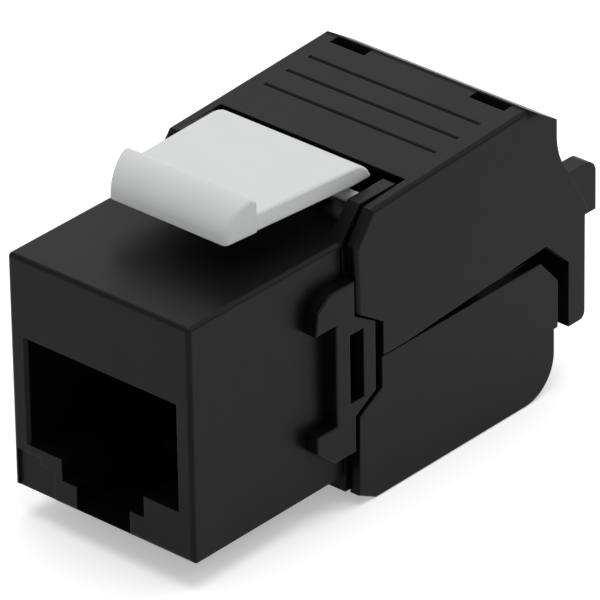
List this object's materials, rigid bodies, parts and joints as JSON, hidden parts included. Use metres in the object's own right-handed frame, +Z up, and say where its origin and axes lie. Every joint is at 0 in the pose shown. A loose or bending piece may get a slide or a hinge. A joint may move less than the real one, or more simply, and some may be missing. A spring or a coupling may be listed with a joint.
{
  "type": "keystone jack",
  "caption": "Data outlet module with a plug port in front, a sprung snap latch on top, and two hinged covers that press the wires into slit terminals at the rear.",
  "frame": {"origin": "middle of the lower front edge of the body, in the plane of the port face", "axes": "+X across the jack, +Y from the port face to the cable end, +Z up through the snap latch"},
  "size_m": [0.0164, 0.0369, 0.0226],
  "materials": {
    "black_plastic": "fine satin grain",
    "grey_plastic": "satin",
    "carrier_plastic": "matt",
    "board": "lacquered laminate",
    "contact_metal": "gold plated",
    "terminal_metal": "tin plated"
  },
  "bodies": {
    "housing": {"front_housing": "black_plastic", "terminal_housing": "black_plastic", "contact_carrier": "carrier_plastic", "circuit_board": "board", "contact_1": "contact_metal", "contact_2": "contact_metal", "contact_3": "contact_metal", "contact_4": "contact_metal", "contact_5": "contact_metal", "contact_6": "contact_metal", "contact_7": "contact_metal", "contact_8": "contact_metal", "wire_terminal_1": "terminal_metal", "wire_terminal_2": "terminal_metal", "wire_terminal_3": "terminal_metal", "wire_terminal_4": "terminal_metal", "wire_terminal_5": "terminal_metal", "wire_terminal_6": "terminal_metal", "wire_terminal_7": "terminal_metal", "wire_terminal_8": "terminal_metal"},
    "latch": {"snap_latch": "grey_plastic"},
    "upper_cover": {"upper_cover": "black_plastic"},
    "lower_cover": {"lower_cover": "black_plastic"}
  },
  "joints": [
    {"name": "latch_press", "type": "hinge", "parent": "housing", "child": "latch", "pos_m": [0, 0.0167, 0.0171], "axis": [1, 0, 0], "range_deg": [0, 8], "stiffness_Nm_per_rad": 0.02},
    {"name": "upper_cover_hinge", "type": "hinge", "parent": "housing", "child": "upper_cover", "pos_m": [0, 0.015, 0.0148], "axis": [1, 0, 0], "range_deg": [0, 70]},
    {"name": "lower_cover_hinge", "type": "hinge", "parent": "housing", "child": "lower_cover", "pos_m": [0, 0.015, 0.0009], "axis": [-1, 0, 0], "range_deg": [0, 70]}
  ]
}
